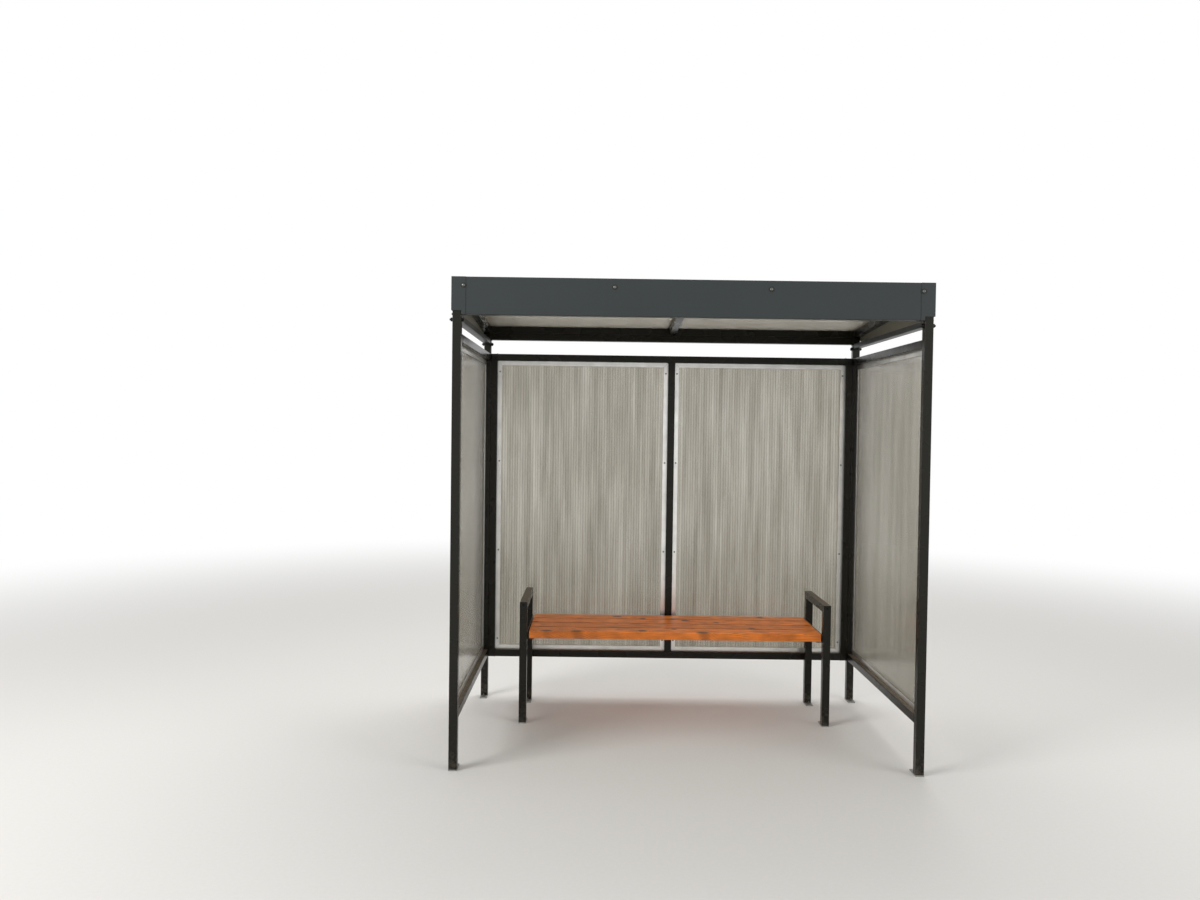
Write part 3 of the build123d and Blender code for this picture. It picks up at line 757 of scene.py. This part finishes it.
def hex_head(across, wide):
    """Hexagon head on a washer of a given width."""
    flats = across / MM
    return together(washer(wide / 2), hexagon(flats, WASHER, WASHER + flats * 0.4))


def roof_height(y):
    """Height of the upper side of the roof sheets, which falls to the back."""
    return ROOF_SHEET_HIGH.z - (y - ROOF_SHEET_LOW.y) * ROOF_SLOPE


class SHELTER_OT_coat_steel(bpy.types.Operator):
    """Powder coat the tubes, foot plates and seat angles, and coat the fascia"""
    bl_idname = "shelter.coat_steel"
    bl_label = "Coat the steel"

    def execute(self, context):
        finish = context.scene.shelter_finishes
        coat_nodes(TUBES, finish_of("powder_coated_steel", powder_coated_steel, finish))
        # Middle of the hollow of each folded sheet
        front = (0, (FASCIA_LOW.y + FASCIA_HIGH.y) / 2, (FASCIA_LOW.z + FASCIA_HIGH.z) / 2)
        side = (SIDE_FASCIA_HIGH.x - (FASCIA_HIGH.y - FASCIA_LOW.y) / 2, 0,
                (SIDE_FASCIA_LOW.z + SIDE_FASCIA_HIGH.z) / 2)
        coat_nodes(FRONT_FASCIA, coil_coated_sheet("coil_coated_sheet_front", finish, front))
        coat_nodes(SIDE_FASCIAS, coil_coated_sheet("coil_coated_sheet_sides", finish, side))
        return {"FINISHED"}


class SHELTER_OT_finish_channels(bpy.types.Operator):
    """Mill finish for the glazing channels and the angle at the eaves"""
    bl_idname = "shelter.finish_channels"
    bl_label = "Finish the channels"

    def execute(self, context):
        finish = context.scene.shelter_finishes
        side = mill_aluminium("mill_aluminium_sides", finish, "Y", SIDE_RING_LOW.y, SIDE_RING_HIGH.y)
        back = mill_aluminium("mill_aluminium_back", finish, "X", BACK_RING_LOW.x, BACK_RING_HIGH.x)
        coat_nodes([name for name in CHANNELS if name.startswith("side")], side)
        coat_nodes([name for name in CHANNELS if name.startswith("back")] + [EAVE], back)
        return {"FINISHED"}


class SHELTER_OT_glaze(bpy.types.Operator):
    """Twin-wall polycarbonate for the walls and the roof"""
    bl_idname = "shelter.glaze"
    bl_label = "Glaze walls and roof"

    def execute(self, context):
        finish = context.scene.shelter_finishes
        # Start of the nodes' names, tint, axis across the cells, veil, unevenness and clearness
        kinds = (("back", finish.sheet, "X", finish.sheet_veil, 0.68, 0.72),
                 ("side", finish.sheet, "Y", finish.sheet_veil, 0.5, 0.72),
                 ("roof", finish.roof_sheet, "X", finish.roof_veil, 0.15, 0.3))
        for start, *look in kinds:
            sheet = twin_wall_sheet("twin_wall_polycarbonate_" + start, finish.cell, *look)
            coat_nodes([name for name in WALL_SHEETS + ROOF_SHEETS if name.startswith(start)], sheet)
        return {"FINISHED"}


class SHELTER_OT_stain_planks(bpy.types.Operator):
    """Stain the planks of the bench"""
    bl_idname = "shelter.stain_planks"
    bl_label = "Stain the planks"

    def execute(self, context):
        low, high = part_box("bench_plank_1")
        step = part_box("bench_plank_2")[0].y - low.y
        coat_nodes(PLANKS, stained_pine(context.scene.shelter_finishes, low, high, step))
        return {"FINISHED"}


class SHELTER_OT_fascia_bolts(bpy.types.Operator):
    """Domed bolts through the fascia into the roof frame, on sealing washers"""
    bl_idname = "shelter.fascia_bolts"
    bl_label = "Fascia bolts"

    def execute(self, context):
        head = context.scene.shelter_fasteners.fascia_head
        height = (ROOF_TUBE_LOW.z + ROOF_TUBE_HIGH.z) / 2
        back_height = (ROOF_BACK_LOW.z + ROOF_BACK_HIGH.z) / 2
        # The outer bolts go through the laps of the side fascias as well
        places = [looking((x, FASCIA_LOW.y if abs(x) < LAP_BOLT_X else SIDE_FASCIA_LOW.y, height),
                          (0, -1, 0), x) for x in FRONT_BOLTS_X]
        places += [looking((x, SIDE_FASCIA_HIGH.y, back_height), (0, 1, 0), x)
                   for x in (-LAP_BOLT_X, LAP_BOLT_X)]
        for sign in (-1, 1):
            for y in SIDE_BOLTS_Y:
                z = height - (y - FRONT_Y) * ROOF_SLOPE
                places.append(looking((sign * SIDE_FASCIA_HIGH.x, y, z), (sign, 0, 0), y))
        zinc = bright_zinc(context.scene.shelter_finishes)
        add_fasteners("fascia_bolts", together(domed_head(head)), places, zinc)
        # Black sealing washers wider than the heads: partly real washers, partly a ring of painted shade
        add_rubber("fascia_washers", together(washer(head / 2 / MM + SEAL_AND_SHADE_OVERHANG)), places)
        return {"FINISHED"}


class SHELTER_OT_post_bolts(bpy.types.Operator):
    """Studs, nuts and screws at the tops of the posts, bolts of the back wall, and plugs low down"""
    bl_idname = "shelter.post_bolts"
    bl_label = "Post bolts"

    def execute(self, context):
        nut = context.scene.shelter_fasteners.nut
        # Zinc darkened as painted shade
        black = black_zinc(context.scene.shelter_finishes)
        outer, inner, small, wall, plugs = [], [], [], [], []
        for sign in (-1, 1):
            outside, out, inwards = sign * POST_HIGH.x, (sign, 0, 0), (-sign, 0, 0)
            for y, z in ((FRONT_Y, FRONT_STUD_Z), (BACK_Y, BACK_STUD_Z)):
                outer.append(looking((outside, y, z), out, 0.3))
                inner.append(looking((sign * POST_LOW.x, y, z), inwards, 0.8))
            small.append(looking((outside, FRONT_Y, POST_SCREW_Z), out, 0.1))
            wall += [looking((outside, BACK_Y, z), out, z) for z in WALL_BOLTS_Z]
            plugs.append(looking((sign * SIDE_X, BACK_Y - TUBE / 2, PLUG_Z), (0, -1, 0)))
        add_fasteners("post_stud_ends", stud_nut(nut, 24, 5), outer, black)
        add_fasteners("post_stud_nuts", stud_nut(nut, 22, 2.5), inner, black)
        add_fasteners("post_screws", together(washer(7.5), domed_head(0.011)), small, black)
        add_fasteners("back_wall_bolts", hex_head(0.013, 17), wall, black)
        plug = together(spun([(0, 0), (6.0, 0), (5.8, 0.7), (4.6, 1.5), (0, 1.8)]))
        add_rubber("post_plugs", plug, plugs)
        return {"FINISHED"}


class SHELTER_OT_anchor_bolts(bpy.types.Operator):
    """Ground anchors in the foot plates of the posts and of the bench"""
    bl_idname = "shelter.anchor_bolts"
    bl_label = "Ground anchors"

    def execute(self, context):
        # A hole lies in the middle of what its plate shows beside the tube
        post_y = POST_HIGH.y - (POST_HIGH.y - POST_LOW.y - TUBE) / 2
        front_y = LEG_HIGH.y - (LEG_HIGH.y - LEG_LOW.y - TUBE) / 2
        back_y = BACK_LEG_LOW.y + (BACK_LEG_HIGH.y - BACK_LEG_LOW.y - TUBE) / 2
        places = []
        for sign in (-1, 1):
            for x, y in ((SIDE_X, post_y), (SIDE_X, -post_y), (LEG_X, front_y), (LEG_X, back_y)):
                places.append(looking((sign * x, y, PLATE), (0, 0, 1), sign * x + y))
        pattern = stud_nut(context.scene.shelter_fasteners.anchor_nut, 24, 9)
        add_fasteners("ground_anchors", pattern, places, bright_zinc(context.scene.shelter_finishes))
        return {"FINISHED"}


class SHELTER_OT_channel_rivets(bpy.types.Operator):
    """Blind rivets through the legs of the glazing channels, inside and outside"""
    bl_idname = "shelter.channel_rivets"
    bl_label = "Channel rivets"

    def execute(self, context):
        sizes = context.scene.shelter_fasteners
        r = sizes.rivet_head / 2 / MM
        pattern = together(spun([(0, 0), (r, 0), (r, 0.35), (r * 0.8, 1.1), (r * 0.45, 1.6),
                                 (r * 0.34, 1.6), (r * 0.3, 1.0), (0, 0.9)], 16))
        inset = CHANNEL_LEG / 2
        span = SIDE_RING_HIGH.z - SIDE_RING_LOW.z - 2 * RIVET_TO_CORNER
        places = []
        for sign in (-1, 1):
            for number in range(sizes.rivet_count):
                z = SIDE_RING_LOW.z + RIVET_TO_CORNER + span / (sizes.rivet_count - 1) * number
                for y in (SIDE_RING_LOW.y + inset, SIDE_RING_HIGH.y - inset):
                    places.append(looking((sign * SIDE_RING_LOW.x, y, z), (-sign, 0, 0)))
                    places.append(looking((sign * SIDE_RING_HIGH.x, y, z), (sign, 0, 0)))
                for x in (BACK_RING_LOW.x + inset, BACK_RING_HIGH.x - inset):
                    places.append(looking((sign * x, BACK_RING_LOW.y, z), (0, -1, 0)))
                    places.append(looking((sign * x, BACK_RING_HIGH.y, z), (0, 1, 0)))
        add_fasteners("channel_rivets", pattern, places, bright_zinc(context.scene.shelter_finishes))
        return {"FINISHED"}


class SHELTER_OT_roof_fixings(bpy.types.Operator):
    """Cover strip over the joint of the roof sheets, and the screws that hold it and the eave angle"""
    bl_idname = "shelter.roof_fixings"
    bl_label = "Roof fixings"

    def execute(self, context):
        start_y = FASCIA_LOW.y + STRIP_INSET
        run = EAVE_LOW.y - start_y
        crest = STRIP_EDGE + STRIP_RISE
        # Strip of two steps in section, drawn down the slope
        half_outline = [(STRIP_HALF, STRIP_LIFT), (STRIP_HALF, STRIP_EDGE),
                        (STRIP_HALF * STRIP_CROWN, crest)]
        outline = [(-x, z) for x, z in half_outline] + half_outline[::-1]
        strip = bmesh.new()
        face = strip.faces.new([strip.verts.new((x, start_y, z + roof_height(start_y)))
                                for x, z in outline])
        grown = bmesh.ops.extrude_face_region(strip, geom=[face])["geom"]
        ends = [item for item in grown if isinstance(item, bmesh.types.BMVert)]
        bmesh.ops.translate(strip, verts=ends, vec=(0, run, -run * ROOF_SLOPE))
        add_piece("roof_cover_strip", strip, bpy.data.materials["mill_aluminium_back"])
        # Points and turns of the screws in the strip, then of those in the eave angle
        spots = []
        for share in STRIP_SCREW_SHARES:
            y = start_y + share * run
            spots.append((Vector((0, y, roof_height(y) + crest)), share * 9))
        y = (EAVE_LOW.y + EAVE_HIGH.y) / 2
        z = EAVE_HIGH.z - (y - EAVE_LOW.y) * ROOF_SLOPE
        for number in range(EAVE_SCREWS):
            x = -EAVE_SCREW_X + number * 2 * EAVE_SCREW_X / (EAVE_SCREWS - 1)
            spots.append((Vector((x, y, z)), x * 5))
        up = Vector((0, ROOF_SLOPE, 1)).normalized()
        lift = Vector((0, 0, SEAL_HEIGHT * MM))
        screw = together(spun([(0, 0), (5.6, 0), (5.4, 0.9), (0, 0.9)], 20), hexagon(8, 0.8, 5.2, 0.5))
        seal = together(spun([(0, 0), (7.2, 0), (7.8, 0.7), (7.0, 1.5), (5.2, 1.9), (0, 1.9)]))
        add_fasteners("roof_screws", screw, [looking(point + lift, up, turn) for point, turn in spots],
                      bright_zinc(context.scene.shelter_finishes))
        add_rubber("roof_sealing_washers", seal, [looking(point, up) for point, turn in spots])
        return {"FINISHED"}


class SHELTER_OT_bench_screws(bpy.types.Operator):
    """Screws through the seat angles into the planks, from below"""
    bl_idname = "shelter.bench_screws"
    bl_label = "Bench screws"

    def execute(self, context):
        pattern = together(
            spun([(0, 0), (8.5, 0), (8.5, 1.2), (8.2, 1.4), (0, 1.4)], 20), hexagon(10, 1.4, 6.2, 0.6))
        x = SEAT_ANGLE_LOW.x + (SEAT_ANGLE_HIGH.x - SEAT_ANGLE_LOW.x) * 0.45
        places = []
        for name in PLANKS:
            low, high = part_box(name)
            for share in PLANK_SCREW_SHARES:
                y = low.y + share * (high.y - low.y)
                for sign in (-1, 1):
                    places.append(looking((sign * x, y, SEAT_ANGLE_LOW.z), (0, 0, -1), y * 40))
        add_fasteners("bench_screws", pattern, places, bright_zinc(context.scene.shelter_finishes))
        return {"FINISHED"}


class SHELTER_OT_weld_beads(bpy.types.Operator):
    """Weld beads where tubes and plates meet"""
    bl_idname = "shelter.weld_beads"
    bl_label = "Weld beads"

    def execute(self, context):
        radius = context.scene.shelter_fasteners.bead
        coat = finish_of("powder_coated_steel", powder_coated_steel, context.scene.shelter_finishes)
        # Flat of a tube between its rounded corners
        flat = TUBE - 2 * TUBE_CORNER
        inner_y = BACK_Y - TUBE / 2
        # What the channels leave free of the back wall's rails, 3 mm short of the edge of the rail and
        # 1 mm short of the channel
        free = BACK_RING_LOW.y - STILE_LOW.y - 4 * MM
        free_y = (BACK_RING_LOW.y + STILE_LOW.y) / 2 + 1 * MM
        # Middle, direction and length of each bead
        beads = []
        for sign in (-1, 1):
            for end in (-1, 1):
                # Rails of the side walls, above and below
                for low, high in ((RAIL_LOW, RAIL_HIGH), (TOP_RAIL_LOW, TOP_RAIL_HIGH)):
                    for z in (low.z, high.z):
                        beads.append(((sign * SIDE_X, end * high.y, z), (1, 0, 0), flat))
                # Foot plates of the posts
                beads.append(((sign * SIDE_X, end * inner_y, PLATE), (1, 0, 0), flat))
                # Rafter between the front and back roof tubes
                drop = 0 if end < 0 else ROOF_TUBE_HIGH.z - ROOF_BACK_HIGH.z
                middle = (ROOF_TUBE_LOW.z + ROOF_TUBE_HIGH.z) / 2 - drop
                beads.append(((sign * RAFTER_HIGH.x, end * inner_y, middle), (0, 0, 1), flat))
            # Foot plates of the bench
            for y in (LEG_LOW.y + TUBE, BACK_LEG_HIGH.y - TUBE):
                beads.append(((sign * LEG_X, y, PLATE), (1, 0, 0), flat))
            # Rails of the back wall on its stiles, at the lower and upper ends of the stiles
            for z in (STILE_LOW.z, STILE_HIGH.z):
                beads.append(((sign * STILE_LOW.x, BACK_Y, z), (0, 1, 0), flat))
            # Rails on the stiles and the mullion, inside the frame
            for z in (BACK_RING_LOW.z, BACK_RING_HIGH.z):
                for x in (STILE_LOW.x, TUBE / 2):
                    beads.append(((sign * x, free_y, z), (0, 1, 0), free))
            # Front roof tube on the posts, and the beam between the back posts
            beads.append(((sign * POST_LOW.x, FRONT_Y, POST_HIGH.z), (0, 1, 0), flat))
            beads.append(((sign * BACK_POST_LOW.x, BACK_Y, ROOF_BACK_LOW.z - TUBE), (0, 1, 0), flat))
        shape = bmesh.new()
        for middle, direction, length in beads:
            pattern = bead_mesh(length, radius)
            spread(shape, pattern, [looking(middle, direction)])
            bpy.data.meshes.remove(pattern)
        add_piece("weld_beads", shape, coat)
        return {"FINISHED"}


class SHELTER_OT_stage(bpy.types.Operator):
    """Plain floor, soft studio lamps, white background and the camera of the photograph"""
    bl_idname = "shelter.stage"
    bl_label = "Stage"

    def execute(self, context):
        stage = context.scene.shelter_stage
        scene = context.scene
        shape = bmesh.new()
        bmesh.ops.create_circle(shape, cap_ends=True, segments=96, radius=FLOOR_RADIUS)
        mesh = bpy.data.meshes.new("floor")
        shape.to_mesh(mesh)
        shape.free()
        mesh.materials.append(studio_floor(stage))
        floor = bpy.data.objects.new("floor", mesh)
        scene.collection.objects.link(floor)

        # Name, power, place, width and target of each lamp
        lamps = (("key", stage.key_power, (-5.2, -3.7, 3.9), 2.6, (0.1, 0.0, 1.0)),
                 ("fill", stage.fill_power, (4.8, -3.6, 3.0), 3.0, (0.0, 0.0, 1.1)),
                 ("top", stage.top_power, (0.6, 2.6, 5.6), 3.6, (0.0, 0.0, 1.2)))
        for name, power, point, width, target in lamps:
            light = bpy.data.lights.new(name, "AREA")
            light.energy = power
            light.size = width
            lamp = bpy.data.objects.new(name, light)
            aim = (Vector(target) - Vector(point)).to_track_quat("-Z", "Y").to_matrix().to_4x4()
            lamp.matrix_world = Matrix.Translation(point) @ aim
            scene.collection.objects.link(lamp)

        world = bpy.data.worlds.new("studio")
        scene.world = world
        world.use_nodes = True
        tree = world.node_tree
        tree.nodes.clear()
        strength = add_node(tree, "ShaderNodeMapRange", {
            "Value": seen_directly(tree), "To Min": stage.sky, "To Max": 1.0})
        even = add_node(tree, "ShaderNodeBackground", {"Color": (1, 1, 1, 1), "Strength": strength})
        add_node(tree, "ShaderNodeOutputWorld", {"Surface": even})

        camera = bpy.data.objects.new("camera", bpy.data.cameras.new("camera"))
        camera.data.sensor_width = CAMERA_SENSOR
        camera.data.lens = CAMERA_LENS
        camera.matrix_world = (Matrix.Translation(CAMERA_PLACE)
                               @ Matrix.Rotation(CAMERA_TURN, 4, "Z")
                               @ Matrix.Rotation(radians(90) + CAMERA_PITCH, 4, "X")
                               @ Matrix.Rotation(CAMERA_ROLL, 4, "Z"))
        scene.collection.objects.link(camera)
        scene.camera = camera
        scene.view_settings.view_transform = "Standard"
        return {"FINISHED"}


OPERATORS = (
    SHELTER_OT_coat_steel, SHELTER_OT_finish_channels, SHELTER_OT_glaze, SHELTER_OT_stain_planks,
    SHELTER_OT_fascia_bolts, SHELTER_OT_post_bolts, SHELTER_OT_anchor_bolts, SHELTER_OT_channel_rivets,
    SHELTER_OT_roof_fixings, SHELTER_OT_bench_screws, SHELTER_OT_weld_beads, SHELTER_OT_stage,
)


class SHELTER_PT_panel(bpy.types.Panel):
    """Steps that finish the shelter, with their sizes and colours"""
    bl_idname = "SHELTER_PT_panel"
    bl_label = "Bus shelter"
    bl_space_type = "VIEW_3D"
    bl_region_type = "UI"
    bl_category = "Bus shelter"

    def draw(self, context):
        for operator in OPERATORS:
            self.layout.operator(operator.bl_idname)
        for group in GROUPS:
            box = self.layout.box()
            settings = getattr(context.scene, group)
            for name in settings.__annotations__:
                box.prop(settings, name)


GROUPS = {"shelter_finishes": ShelterFinishes, "shelter_fasteners": ShelterFasteners,
          "shelter_stage": ShelterStage}


def register():
    for name, group in GROUPS.items():
        bpy.utils.register_class(group)
        setattr(bpy.types.Scene, name, PointerProperty(type=group))
    for item in OPERATORS + (SHELTER_PT_panel,):
        bpy.utils.register_class(item)


def unregister():
    for item in (SHELTER_PT_panel,) + OPERATORS[::-1]:
        bpy.utils.unregister_class(item)
    for name, group in GROUPS.items():
        delattr(bpy.types.Scene, name)
        bpy.utils.unregister_class(group)


def main():
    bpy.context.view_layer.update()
    register()
    bpy.ops.shelter.coat_steel()
    bpy.ops.shelter.finish_channels()
    bpy.ops.shelter.glaze()
    bpy.ops.shelter.stain_planks()
    bpy.ops.shelter.fascia_bolts()
    bpy.ops.shelter.post_bolts()
    bpy.ops.shelter.anchor_bolts()
    bpy.ops.shelter.channel_rivets()
    bpy.ops.shelter.roof_fixings()
    bpy.ops.shelter.bench_screws()
    bpy.ops.shelter.weld_beads()
    bpy.ops.shelter.stage()


if __name__ == "__main__":
    main()
